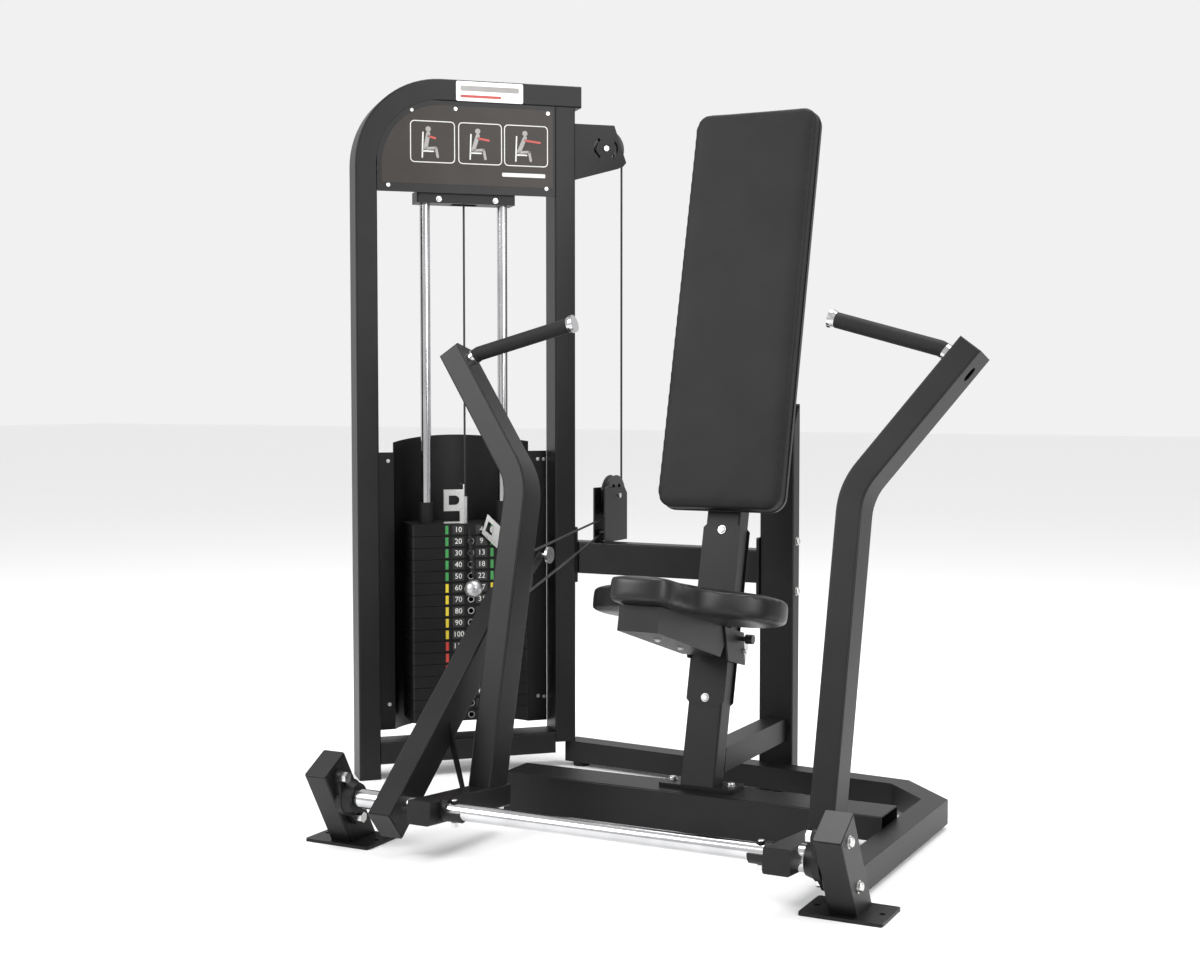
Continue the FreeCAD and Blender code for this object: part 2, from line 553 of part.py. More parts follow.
block_cheeks.append(cyl(7, (CABLE_X - 12, ANCHOR.y, ANCHOR.z), (CABLE_X + 12, ANCHOR.y, ANCHOR.z)))
block_cheeks.append(box(CABLE_X - 12, CABLE_X + 12, 889, 950, CROSS_Z[1], CROSS_Z[1] + 5))
add("pulley_block", *block_cheeks)
axles = [in_tower(cyl(6, (s, STACK_Y - 22, TOP_AXLE_Z), (s, STACK_Y + 22, TOP_AXLE_Z)))
         for s in (REAR_AXLE_S, FRONT_AXLE_S)]
axles.append(cyl(6, (CABLE_X - 20, BLOCK_Y, BLOCK_Z), (CABLE_X + 20, BLOCK_Y, BLOCK_Z)))
add("pulley_axles", *axles)

# ---------------------------------------------------------------- press arms
ARM_DEEP = 72.0
ARM_FOOT = V(0, 165, 105)
BOX_TILT = -5.0
BOX_FRONT = -50.0
BOX_HIGH = 46.0
BOX_LENGTH = 302.0


def on_arm(shape):
    """Arm frame: z runs up the leaning arm, y = 0 is its front face."""
    return tilt(shape, -LEAN, ARM_FOOT)


ARM_BEND_AT = 629.0     # height of the elbow along the arm
ARM_FLARE = 36.5        # outward angle above the elbow
ARM_UPPER = 345.0       # outer edge length above the elbow
ELBOW_R = 130.0
HANDLE_HOLE_UP = 300.0  # elbow to the middle of the access hole


def arm_outline(edge_in):
    """Arm outline in its own leaning plane, right-hand side."""
    half = TUBE / 2 - edge_in
    a = radians(ARM_FLARE)
    up = V(sin(a), 0, cos(a))
    normal = V(cos(a), 0, -sin(a))
    elbow = V(ARM_X, 0, ARM_BEND_AT)
    back = ELBOW_R * tan(a / 2)
    centre = elbow + V(ELBOW_R, 0, -back)
    top = elbow + up * (ARM_UPPER - edge_in)
    k = a / 2

    def arc(radius):
        p = centre + V(-radius, 0, 0)
        q = centre + V(-radius * cos(a), 0, radius * sin(a))
        m = centre + V(-radius * cos(k), 0, radius * sin(k))
        return p, m, q

    ip, im, iq = arc(ELBOW_R + half)
    op, om, oq = arc(ELBOW_R - half)
    low = edge_in if edge_in else 0.0
    a0, b0 = V(ARM_X - half, 0, low), V(ARM_X + half, 0, low)
    a1, b1 = top - normal * half, top + normal * half
    return Part.Wire([segment(a0, ip), Part.Arc(ip, im, iq).toShape(), segment(iq, a1), segment(a1, b1),
                      segment(b1, oq), Part.Arc(oq, om, op).toShape(), segment(op, b0), segment(b0, a0)])


def mirror_x(shape):
    return shape.mirror(V(0, 0, 0), X)


arm_outer = Part.Face(arm_outline(0)).extrude(V(0, ARM_DEEP, 0))
arm_long = [e for e in arm_outer.Edges if abs(e.BoundBox.YLength) < 1e-6 and e.BoundBox.ZMax > 5]
arm_outer = arm_outer.makeFillet(CORNER, arm_long)
arm_void = Part.Face(arm_outline(WALL)).extrude(V(0, ARM_DEEP - 2 * WALL, 0))
arm_void.translate(V(0, WALL, 0))
arm = on_arm(arm_outer.cut(arm_void))
arm_outer_placed = on_arm(arm_outer)

arm_box = tilt(soft_box(-TUBE / 2, TUBE / 2, 0, BOX_LENGTH, -BOX_HIGH, 0, CORNER, Y).cut(
    box(-TUBE / 2 + WALL, TUBE / 2 - WALL, WALL, BOX_LENGTH - WALL, -BOX_HIGH + WALL, -WALL)),
    BOX_TILT, (ARM_X, BOX_FRONT, 126))
below_box_top = tilt(box(-TUBE, TUBE, -10, BOX_LENGTH + 90, -BOX_HIGH - 90, 0),
                     BOX_TILT, (ARM_X, BOX_FRONT, 126))
arm = arm.cut(below_box_top)

# Oval access hole in the outer wall of the arm, level with the handle.
flare = radians(ARM_FLARE)
hole_at = V(ARM_X, ARM_DEEP / 2, ARM_BEND_AT) + V(sin(flare), 0, cos(flare)) * HANDLE_HOLE_UP
outward = V(cos(flare), 0, -sin(flare))
for along in range(-6, 7, 3):
    start = hole_at + V(sin(flare), 0, cos(flare)) * along + outward * 12
    arm = arm.cut(on_arm(cyl(9, start, start + outward * 20)))

BAR_R = 16.0
BAR_HALF = 322.0
torque_bar = cyl(BAR_R, (-BAR_HALF, 0, PIVOT_Z), (BAR_HALF, 0, PIVOT_Z))
add("torque_bar", torque_bar)
cradle = cyl(BAR_R + 5, (292, 0, PIVOT_Z), (ARM_X - TUBE / 2, 0, PIVOT_Z)).cut(
    cyl(BAR_R, (200, 0, PIVOT_Z), (400, 0, PIVOT_Z)))
cradle = cradle.cut(box(200, 322, -40, 40, PIVOT_Z + 1, PIVOT_Z + 60))
for side in ("left", "right"):
    turn = mirror_x if side == "left" else Part.Shape.copy
    add("press_arm_" + side, turn(arm), turn(arm_box))
    add("bar_cradles", turn(cradle))
bar_bolts = []
for sign in (-1, 1):
    bar_bolts.append(bolt((sign * 311, 0, PIVOT_Z + BAR_R), (0, 0, 1), 6.5, 5))
    bar_bolts.append(hex_nut((sign * 311, 0, PIVOT_Z - BAR_R - 5.2), (0, 0, -1), 13, 9))
add("bar_cradles", *bar_bolts)

# Handles: a bent chrome tube, foam grip, flared end cap and collar.
handle_start = V(528, 408, 958)
handle_bend = V(502, 411, 975)
handle_end = V(290, 425, 1033)
handle_out = (handle_bend - handle_start).normalize()
handle_dir = (handle_end - handle_bend).normalize()
core = round_bar([handle_start, handle_bend, handle_end], [30], 12.5).cut(arm_outer_placed)
grip_from = handle_start + handle_out * 21
grip = round_bar([grip_from, handle_bend, handle_end - handle_dir * 3], [12], 15.5).cut(core)
grip = grip.cut(arm_outer_placed)
collar = Part.makeCylinder(16.5, 15, handle_start + handle_out * 6, handle_out).cut(core)
collar = collar.cut(arm_outer_placed).Solids[0]
cap_start = handle_end - handle_dir * 3
end_cap = Part.makeCone(15.5, 18.5, 7, cap_start, handle_dir).fuse(
    Part.makeCylinder(18.5, 7, cap_start + handle_dir * 7, handle_dir)).cut(core).removeSplitter()
for side in ("left", "right"):
    turn = mirror_x if side == "left" else Part.Shape.copy
    add("handle_" + side, turn(core))
    add("hand_grips", turn(grip))
    add("handle_" + side, turn(collar))
    add("handle_caps", turn(end_cap))

# Lever: leaning tube beside the left arm, with the pulley at its upper end.
LEVER_DEEP = 72.0


def on_lever(shape):
    """Lever frame: z runs up the lever from the swing axis."""
    return tilt(shape, LEVER_RISE - 90, (LEVER_X, 0, PIVOT_Z))


TUBE_R = 19.0
lever = tube(-TUBE / 2, TUBE / 2, -LEVER_DEEP / 2, LEVER_DEEP / 2, -52, LEVER_REACH - 62, Z)
lever = on_lever(lever).cut(cyl(TUBE_R, (LEVER_X - 40, 0, PIVOT_Z), (LEVER_X + 40, 0, PIVOT_Z)))
add("lever", lever)
add("lever", on_lever(soft_box(-24, 24, -35, 35, -55, -52, 3, Z)))
fork = []
for x in (CABLE_X - LEVER_X - 16, CABLE_X - LEVER_X + 12):
    cheek = plate([(-34, LEVER_REACH - 62), (34, LEVER_REACH - 62), (34, LEVER_REACH),
                   (-34, LEVER_REACH)], lambda y, z: V(x, y, z), V(4, 0, 0))
    cheek = cheek.fuse(Part.makeCylinder(34, 4, V(x, 0, LEVER_REACH), X)).removeSplitter()
    cheek = cheek.cut(Part.makeCylinder(6, 6, V(x - 1, 0, LEVER_REACH), X))
    fork.append(on_lever(cheek))
add("lever", *fork)
add("lever_axle", cyl(6, lever_axle - V(22, 0, 0), lever_axle + V(22, 0, 0)))
# Plated tab on the fork with a flat round knob at its end.
knob_at = lever_axle + V(22, 72, 46)
tab = plate([(lever_axle.y - 9, lever_axle.z + 3), (lever_axle.y + 9, lever_axle.z - 9),
             (knob_at.y + 8, knob_at.z - 8), (knob_at.y - 8, knob_at.z + 8)],
            lambda y, z: V(CABLE_X + 16, y, z), V(3, 0, 0))
tab = tab.cut(cyl(6, lever_axle, lever_axle + V(30, 0, 0)))
knob = cyl(4, (CABLE_X + 19, knob_at.y, knob_at.z), (CABLE_X + 34, knob_at.y, knob_at.z)).fuse(
    cyl(18, (CABLE_X + 34, knob_at.y, knob_at.z), (CABLE_X + 40, knob_at.y, knob_at.z)))
add("lever_axle", tab, knob.removeSplitter())
left_inner = BLOCKS["left"] + TUBE / 2
shaft_left = cyl(SHAFT_R, (left_inner + 2, 0, PIVOT_Z), (left_inner + BEARING_DEEP + 2, 0, PIVOT_Z)).fuse(
    cyl(TUBE_R, (left_inner + BEARING_DEEP + 2, 0, PIVOT_Z), (-ARM_X - TUBE / 2, 0, PIVOT_Z)))
add("pivot_shafts", shaft_left.removeSplitter())
right_inner = BLOCKS["right"] - TUBE / 2
add("pivot_shafts", cyl(SHAFT_R, (ARM_X + TUBE / 2, 0, PIVOT_Z), (right_inner - 2, 0, PIVOT_Z)))
collar_r = cyl(24, (ARM_X + TUBE / 2, 0, PIVOT_Z), (right_inner - BEARING_DEEP - 1, 0, PIVOT_Z)).cut(
    cyl(SHAFT_R, (300, 0, PIVOT_Z), (500, 0, PIVOT_Z)))
add("pivot_shafts", collar_r)
gusset = plate([(LEVER_X + TUBE / 2, 190), (LEVER_X + TUBE / 2, 236), (-ARM_X - TUBE / 2, 106),
                (-ARM_X - TUBE / 2, 74)], lambda x, z: V(x, 150, z), V(0, 5, 0))
add("lever", gusset)

# ------------------------------------------------------------ seat and back
SEAT_THICK = 56.0
NOSE_Y, SEAT_REAR_Y = -391.0, -14.0
NOSE_HALF, LOBE_HALF = 72.0, 206.0


def seat_outline():
    """T-shaped saddle outline with a narrow nose towards the front."""
    n, w = NOSE_HALF, LOBE_HALF
    pts = [(n - 25, NOSE_Y), (n, NOSE_Y + 30), (n, -270), (n + 50, -235), (w - 40, -215), (w, -165),
           (w, -110), (w - 30, -50), (n + 30, SEAT_REAR_Y)]
    curve = Part.BSplineCurve()
    right = [V(x, y, 0) for x, y in pts]
    left = [V(-x, y, 0) for x, y in reversed(pts)]
    curve.buildFromPoles(right + left, True, 3)
    return Part.Wire(curve.toShape())


seat = Part.Face(seat_outline()).extrude(V(0, 0, SEAT_THICK))
seat.translate(V(0, 0, SEAT_AT - SEAT_THICK / 2))
add("seat_pad", on_mast(seat))
SEAT_LOW = SEAT_AT - SEAT_THICK / 2
CARRIAGE = 42.5      # inner face of each carriage plate from the seat plane
seat_box = plate([(-355, SEAT_LOW), (-8, SEAT_LOW), (-44, SEAT_LOW - 62), (-355, SEAT_LOW - 50)],
                 lambda y, z: V(-CARRIAGE, y, z), V(2 * CARRIAGE, 0, 0))
seat_void = plate([(-351, SEAT_LOW + 1), (-14, SEAT_LOW + 1), (-46, SEAT_LOW - 57.8),
                   (-351, SEAT_LOW - 46)],
                  lambda y, z: V(-CARRIAGE + 4, y, z), V(2 * CARRIAGE - 8, 0, 0))
add("seat_bracket", on_mast(seat_box.cut(seat_void)))
sides = []
for x in (-CARRIAGE - 4, CARRIAGE):
    cheek = plate([(-44, SEAT_LOW), (60, SEAT_LOW), (92, SEAT_LOW - 22), (84, SEAT_LOW - 66),
                   (-8, SEAT_LOW - 66)], lambda y, z: V(x, y, z), V(4, 0, 0))
    sides.append(on_mast(cheek))
back_bar = box(-CARRIAGE, CARRIAGE, TUBE + 4, TUBE + 10, SEAT_LOW - 60, SEAT_LOW - 30)
add("seat_bracket", *sides)
add("seat_bracket", on_mast(back_bar))
PIN_OUT = CARRIAGE + 4.5
pin_stem = cyl(5, (PIN_OUT, 50, SEAT_LOW - 14), (PIN_OUT + 10, 50, SEAT_LOW - 14))
pin_knob = cyl(10, (PIN_OUT + 10, 50, SEAT_LOW - 14), (PIN_OUT + 26, 50, SEAT_LOW - 14))
add("seat_pin", on_mast(pin_stem.fuse(pin_knob).removeSplitter()))
add("seat_bracket", on_mast(bolt((0, -260, SEAT_LOW - 53), (0, 0, -1), 6, 4)),
    on_mast(bolt((0, -150, SEAT_LOW - 56.5), (0, 0, -1), 6, 4)),
    on_mast(bolt((CARRIAGE + 4, 72, SEAT_LOW - 36), (1, 0, 0), 6, 5)))

cover_w, cover_t = 84.0, 1.2
for y0 in (-cover_t, TUBE):
    z0, z1, c = 166.0, 543.0, 9.0
    h = cover_w / 2
    outline = [(-h, z0 + c), (-h + c, z0), (h - c, z0), (h, z0 + c), (h, z1 - c), (h - c, z1),
               (-h + c, z1), (-h, z1 - c)]
    add("mast_covers", on_mast(plate(outline, lambda x, z: V(x, y0, z), V(0, cover_t, 0))))
add("frame_bolts", *[on_mast(bolt((0, -cover_t, z), (0, -1, 0), 7, 3)) for z in (180, 530)])

pad_z0 = 568.0
pad = soft_box(-PAD_WIDTH / 2, PAD_WIDTH / 2, -PAD_THICK, -0.5, pad_z0, pad_z0 + PAD_LENGTH, 34, Y)
add("back_pad", on_mast(pad))

frame_bolts = []
for z in (559.5, 447.5):
    frame_bolts.append(bolt((POST_X[1], 858, z), (1, 0, 0), 8, 6))
for x, y in ((-68, 460), (62, 460)):
    frame_bolts.append(bolt((x, y, MAST_FOOT.z), (0, 0, 1), 8, 6))
add("frame_bolts", *frame_bolts)

# ------------------------------------------------------------------- cables
stack_top = tower_point(STACK_MID, STACK_Y, TOP_AXLE_Z)
add("stack_cable", cyl(CABLE_R, tower_point(STACK_MID, STACK_Y, TOP_FACE + 60), stack_top))


def wrap(centre, a0, a1):
    """Cable arc about a wheel lying in a plane of constant X, angles from +Y to +Z."""
    at = [centre + V(0, cos(a), sin(a)) * wrap_r for a in (a0, (a0 + a1) / 2, a1)]
    return Part.Arc(*at).toShape(), at[0], at[2]


def pipe(edges, start, direction):
    ring = Part.Wire(Part.makeCircle(CABLE_R, start, direction))
    return Part.Wire(edges).makePipeShell([ring], True, True)


corner_k = 1 - cos(pi / 4)
top = TOP_AXLE_Z + wrap_r
t_a = tower_point(FRONT_AXLE_S, STACK_Y, top)
t_b = tower_point(REAR_AXLE_S, STACK_Y, top)
m_a = tower_point(STACK_MID + wrap_r * corner_k, STACK_Y, top - wrap_r * corner_k)
m_b = tower_point(REAR_AXLE_S + wrap_r * (1 - corner_k), STACK_Y, top - wrap_r * corner_k)
drop = tower_point(REAR_AXLE_S + wrap_r, STACK_Y, TOP_AXLE_Z)
block = V(CABLE_X, BLOCK_Y, BLOCK_Z)
landing = V(CABLE_X, BLOCK_Y + wrap_r, BLOCK_Z)
add("tower_cable", pipe([Part.Arc(stack_top, m_a, t_a).toShape(), segment(t_a, t_b),
                         Part.Arc(t_b, m_b, drop).toShape(), segment(drop, landing)], stack_top, Z))
span = block - lever_axle
slope = atan2(span.z, span.y)
cross_angle = slope + acos(2 * wrap_r / span.Length)
back = ANCHOR - lever_axle
back_angle = atan2(back.z, back.y) - acos(wrap_r / back.Length)
arc_b, b0, b1 = wrap(block, 0.0, cross_angle - pi)
arc_l, l0, l1 = wrap(lever_axle, cross_angle, 2 * pi + back_angle)
cable_end = ANCHOR + (l1 - ANCHOR).normalize() * 7.05
add("lever_cable", pipe([arc_b, segment(b1, l0), arc_l, segment(l1, cable_end)], landing, Z))

# The finished machine stands with its origin under the middle of its outline.
whole = Part.makeCompound(list(parts.values())).optimalBoundingBox(False, False)
shift = V(-(whole.XMin + whole.XMax) / 2, -(whole.YMin + whole.YMax) / 2, 0)
print("moved by", shift.x, shift.y)
for name, shape in parts.items():
    shape.translate(shift)
    shape.exportStep("parts/%s.step" % name)
    bound = shape.BoundBox
    ok = all(s.isValid() and s.Volume > 0 for s in shape.Solids)
    print("%-24s %2d solids %s x %7.1f..%7.1f y %7.1f..%7.1f z %7.1f..%7.1f" % (
        name, len(shape.Solids), "ok " if ok else "BAD", bound.XMin, bound.XMax, bound.YMin, bound.YMax,
        bound.ZMin, bound.ZMax))
print(len(parts), "nodes")
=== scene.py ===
import json
import math
import bmesh
import bpy
from mathutils import Matrix, Vector


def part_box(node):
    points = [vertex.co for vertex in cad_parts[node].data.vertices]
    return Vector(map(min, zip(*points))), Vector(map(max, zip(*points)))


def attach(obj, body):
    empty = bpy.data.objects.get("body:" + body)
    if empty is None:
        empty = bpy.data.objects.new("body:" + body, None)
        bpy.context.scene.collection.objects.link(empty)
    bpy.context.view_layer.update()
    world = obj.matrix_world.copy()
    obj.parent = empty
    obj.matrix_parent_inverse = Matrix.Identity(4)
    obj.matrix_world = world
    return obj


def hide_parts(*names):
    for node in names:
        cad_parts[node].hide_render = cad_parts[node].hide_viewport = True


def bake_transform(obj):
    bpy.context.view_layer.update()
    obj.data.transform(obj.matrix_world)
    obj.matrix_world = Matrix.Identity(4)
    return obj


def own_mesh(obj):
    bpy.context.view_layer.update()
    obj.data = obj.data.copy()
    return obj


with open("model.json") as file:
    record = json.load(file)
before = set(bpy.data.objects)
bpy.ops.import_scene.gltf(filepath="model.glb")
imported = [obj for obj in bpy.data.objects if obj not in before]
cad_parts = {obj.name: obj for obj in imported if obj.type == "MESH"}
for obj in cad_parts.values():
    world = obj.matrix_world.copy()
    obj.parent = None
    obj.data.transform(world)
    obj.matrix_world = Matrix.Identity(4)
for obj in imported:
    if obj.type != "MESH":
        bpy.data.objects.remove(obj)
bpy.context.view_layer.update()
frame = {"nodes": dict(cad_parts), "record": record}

# ------------------------------------------------------------- frame places
MM = 0.001
LEAN = math.radians(14.0)
TOWER_TURN = math.radians(45.0)


def centre(node):
    low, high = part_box(node)
    return (low + high) / 2


PIVOT = centre("torque_bar")
ORIGIN = Vector((PIVOT.x, PIVOT.y, 0.0))
STACK_CENTRE = centre("top_plate")
TOWER = Matrix.Translation((STACK_CENTRE.x, STACK_CENTRE.y, 0)) @ Matrix.Rotation(TOWER_TURN, 4, "Z")
MAST = Matrix.Translation(ORIGIN + Vector((0, 0.428, 0.092))) @ Matrix.Rotation(-LEAN, 4, "X")


# ---------------------------------------------------------------- materials
def shader(name):
    mat = bpy.data.materials.new(name)
    mat.use_nodes = True
    nodes = mat.node_tree.nodes
    return mat, nodes, mat.node_tree.links, nodes["Principled BSDF"]


def texture_space(nodes, links, scale):
    """Noise in the object's own coordinates, in cells per metre."""
    coords = nodes.new("ShaderNodeTexCoord")
    noise = nodes.new("ShaderNodeTexNoise")
    noise.inputs["Scale"].default_value = scale
    noise.inputs["Detail"].default_value = 4.0
    links.new(coords.outputs["Object"], noise.inputs["Vector"])
    return noise


def ramp_between(nodes, links, source, low, high, start=0.35, end=0.65):
    ramp = nodes.new("ShaderNodeValToRGB")
    ramp.color_ramp.elements[0].position = start
    ramp.color_ramp.elements[1].position = end
    ramp.color_ramp.elements[0].color = (*low, 1)
    ramp.color_ramp.elements[1].color = (*high, 1)
    links.new(source, ramp.inputs["Fac"])
    return ramp.outputs["Color"]


def bumped(nodes, links, bsdf, height, strength, distance):
    bump = nodes.new("ShaderNodeBump")
    bump.inputs["Strength"].default_value = strength
    bump.inputs["Distance"].default_value = distance
    links.new(height, bump.inputs["Height"])
    links.new(bump.outputs["Normal"], bsdf.inputs["Normal"])


def coated(name, low, high, rough, grain, bump, metallic=0.0, specular=0.5):
    """Paint, plastic, rubber or plating: varied colour and roughness with a fine surface grain."""
    mat, nodes, links, bsdf = shader(name)
    fine = texture_space(nodes, links, grain)
    broad = texture_space(nodes, links, 9.0)
    color = ramp_between(nodes, links, broad.outputs["Fac"], low, high)
    links.new(color, bsdf.inputs["Base Color"])
    spread = nodes.new("ShaderNodeMapRange")
    spread.inputs["To Min"].default_value = rough[0]
    spread.inputs["To Max"].default_value = rough[1]
    links.new(fine.outputs["Fac"], spread.inputs["Value"])
    links.new(spread.outputs["Result"], bsdf.inputs["Roughness"])
    bsdf.inputs["Metallic"].default_value = metallic
    bsdf.inputs["Specular IOR Level"].default_value = specular
    bumped(nodes, links, bsdf, fine.outputs["Fac"], bump, 0.0004)
    return mat


BLACK_PAINT = coated("black_powder_coat", (0.0035, 0.0035, 0.0038), (0.0058, 0.0058, 0.0062), (0.34, 0.50), 1400,
                     0.35, specular=0.26)
STACK_PAINT = coated("stack_paint", (0.0030, 0.0030, 0.0031), (0.0050, 0.0050, 0.0051), (0.36, 0.5), 900, 0.3,
                     specular=0.22)
CHROME = coated("chrome_plate", (0.44, 0.44, 0.45), (0.56, 0.56, 0.57), (0.10, 0.20), 300, 0.02, metallic=1.0)
ZINC = coated("zinc_plate", (0.50, 0.50, 0.49), (0.62, 0.62, 0.61), (0.22, 0.36), 700, 0.1, metallic=1.0)
RUBBER = coated("foam_rubber", (0.0050, 0.0050, 0.0050), (0.0080, 0.0080, 0.0080), (0.55, 0.75), 2600, 0.5,
                specular=0.25)
PLASTIC = coated("black_plastic", (0.0055, 0.0055, 0.0060), (0.0085, 0.0085, 0.0090), (0.30, 0.42), 1800, 0.2,
                 specular=0.4)
VINYL = coated("black_vinyl", (0.0080, 0.0080, 0.0085), (0.0120, 0.0120, 0.0125), (0.42, 0.55), 2200, 0.45)
CABLE = coated("cable_sheath", (0.0060, 0.0060, 0.0060), (0.0095, 0.0095, 0.0095), (0.35, 0.5), 1500, 0.2)

SLOT_MATERIAL = {"black_frame": BLACK_PAINT, "bright_zinc": ZINC, "bright_chrome": CHROME, "stack_iron": STACK_PAINT,
                 "black_rubber": RUBBER, "black_plastic": PLASTIC, "black_vinyl": VINYL, "steel_cable": CABLE}


def dress(node, obj, mat):
    obj.data.materials.clear()
    obj.data.materials.append(mat)
    for poly in obj.data.polygons:
        poly.use_smooth = True
    split = obj.modifiers.new("edges", "EDGE_SPLIT")
    split.split_angle = math.radians(28)


slots = {part["node"]: part["material_slot"] for part in frame["record"]["subparts"]}
for node_name, node_obj in frame["nodes"].items():
    dress(node_name, node_obj, SLOT_MATERIAL[slots[node_name]])

# ------------------------------------------------------------ mesh helpers
def keep(name, mesh, mats, body, smooth=28):
    """Put a mesh in the scene with its materials, its finish and the body that it rides on."""
    obj = bpy.data.objects.new(name, mesh)
    bpy.context.collection.objects.link(obj)
    for mat in mats:
        mesh.materials.append(mat)
    for poly in mesh.polygons:
        poly.use_smooth = True
    if smooth:
        split = obj.modifiers.new("edges", "EDGE_SPLIT")
        split.split_angle = math.radians(smooth)
    if body:
        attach(obj, body)
    return obj


def slab(bm, place, low, high, mat=0, round_by=0.0):
    """Box from low to high in a local frame, its edges rounded over."""
    size = Vector(high) - Vector(low)
    middle = (Vector(high) + Vector(low)) / 2
    made = bmesh.ops.create_cube(bm, size=1.0)
    bmesh.ops.scale(bm, vec=size, verts=made["verts"])
    faces = {f for v in made["verts"] for f in v.link_faces}
    verts = made["verts"]
    if round_by:
        edges = list({e for f in faces for e in f.edges})
        out = bmesh.ops.bevel(bm, geom=edges, offset=round_by, segments=3, profile=0.5, affect="EDGES")
        verts = out["verts"]
        faces = {f for v in verts for f in v.link_faces}
        verts = list({v for f in faces for v in f.verts})
    for face in faces:
        face.material_index = mat
    bmesh.ops.transform(bm, matrix=place @ Matrix.Translation(middle), verts=verts)


def sheet_of(bm, place, outline, y, thick, mat=0):
    """Flat figure standing in the local XZ plane, facing -Y, with a small thickness."""
    front = [bm.verts.new(place @ Vector((x, y, z))) for x, z in outline]
    rear = [bm.verts.new(place @ Vector((x, y + thick, z))) for x, z in outline]
    faces = [bm.faces.new(front), bm.faces.new(list(reversed(rear)))]
    count = len(outline)
    for i in range(count):
        j = (i + 1) % count
        faces.append(bm.faces.new([front[j], front[i], rear[i], rear[j]]))
    for face in faces:
        face.material_index = mat


def rounded(x0, x1, z0, z1, r, steps=6):
    """Outline of a rounded rectangle."""
    pts = []
    for cx, cz, start in ((x1 - r, z0 + r, -90), (x1 - r, z1 - r, 0), (x0 + r, z1 - r, 90), (x0 + r, z0 + r, 180)):
        for k in range(steps + 1):
            turn = math.radians(start + 90 * k / steps)
            pts.append((cx + r * math.cos(turn), cz + r * math.sin(turn)))
    return pts


def disc(cx, cz, r, count=28):
    return [(cx + r * math.cos(2 * math.pi * k / count), cz + r * math.sin(2 * math.pi * k / count))
            for k in range(count)]


def stroke(bm, place, points, width, y, thick, mat=0):
    """Line of a pictogram: a rounded bar over each run between its points."""
    for (xa, za), (xb, zb) in zip(points, points[1:]):
        run = Vector((xb - xa, zb - za))
        turn = math.atan2(run.y, run.x)
        outline = []
        for centre_x, centre_z, start in ((xb, zb, turn - math.pi / 2), (xa, za, turn + math.pi / 2)):
            for k in range(9):
                a = start + math.pi * k / 8
                outline.append((centre_x + width / 2 * math.cos(a), centre_z + width / 2 * math.sin(a)))
        sheet_of(bm, place, outline, y, thick, mat)


def ring_of(bm, place, outer, inner, y, thick, mat=0):
    """Frame between two outlines with the same number of points."""
    layers = [[bm.verts.new(place @ Vector((x, depth, z))) for x, z in path]
              for path, depth in ((outer, y), (inner, y), (inner, y + thick), (outer, y + thick))]
    count = len(outer)
    for i in range(count):
        j = (i + 1) % count
        for k in range(4):
            a, b = layers[k], layers[(k + 1) % 4]
            bm.faces.new([a[i], a[j], b[j], b[i]]).material_index = mat


def figures(bm, place, text, size, x, z, y, mat=0):
    """Digits in the built-in font, laid on the local XZ plane and given a small thickness."""
    curve = bpy.data.curves.new("digits", "FONT")
    curve.body = text
    curve.size = size
    curve.align_x = "CENTER"
    curve.align_y = "CENTER"
    curve.extrude = 0.0001
    curve.resolution_u = 3
    holder = bpy.data.objects.new("digits", curve)
    mesh = bpy.data.meshes.new_from_object(holder)
    upright = Matrix.Translation((x, y, z)) @ Matrix.Rotation(math.pi / 2, 4, "X")
    mesh.transform(place @ upright)
    first = len(bm.faces)
    bm.from_mesh(mesh)
    bm.faces.ensure_lookup_table()
    for face in bm.faces[first:]:
        face.material_index = mat
    bpy.data.objects.remove(holder)
    bpy.data.curves.remove(curve)
    bpy.data.meshes.remove(mesh)


def mesh_of(name, bm):
    bmesh.ops.recalc_face_normals(bm, faces=bm.faces)
    mesh = bpy.data.meshes.new(name)
    bm.to_mesh(mesh)
    bm.free()
    return mesh


# ------------------------------------------------------ padded seat and back
def swollen(node, name, body, voxel, cap, round_steps, settle, mat):
    """Upholstered pad from a CAD solid: edges rounded over, then filled out by cloth under pressure."""
    source = frame["nodes"][node]
    mesh = source.data.copy()
    obj = bpy.data.objects.new(name, mesh)
    bpy.context.collection.objects.link(obj)
    remesh = obj.modifiers.new("even", "REMESH")
    remesh.mode = "VOXEL"
    remesh.voxel_size = voxel
    mesh = evaluated(obj)
    obj.modifiers.clear()
    obj.data = mesh
    relax(mesh, round_steps)
    bm = bmesh.new()
    bm.from_mesh(mesh)
    bm.normal_update()
    for vert in bm.verts:
        vert.co -= vert.normal * cap * 0.6
    bm.to_mesh(mesh)
    bm.free()
    rest = [v.co.copy() for v in mesh.vertices]
    cloth = obj.modifiers.new("fill", "CLOTH")
    cloth.settings.quality = 5
    cloth.settings.use_pressure = True
    cloth.settings.uniform_pressure_force = 4.0
    cloth.settings.effector_weights.gravity = 0.0
    cloth.point_cache.frame_start = 1
    cloth.point_cache.frame_end = 20
    for step in range(1, 21):
        bpy.context.scene.frame_set(step)
    full = evaluated(obj)
    obj.modifiers.clear()
    for vert, start, end in zip(mesh.vertices, rest, full.vertices):
        move = end.co - start
        reach = move.length
        if reach > 1e-6:
            move *= cap * math.tanh(reach / cap) / reach
        vert.co = start + move
    bpy.context.scene.frame_set(1)
    relax(mesh, settle)
    fit_local(mesh, source.data)
    for poly in mesh.polygons:
        poly.use_smooth = True
    mesh.materials.clear()
    mesh.materials.append(mat)
    sub = obj.modifiers.new("smooth", "SUBSURF")
    sub.levels = sub.render_levels = 1
    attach(obj, body)
    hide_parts(node)
    return obj


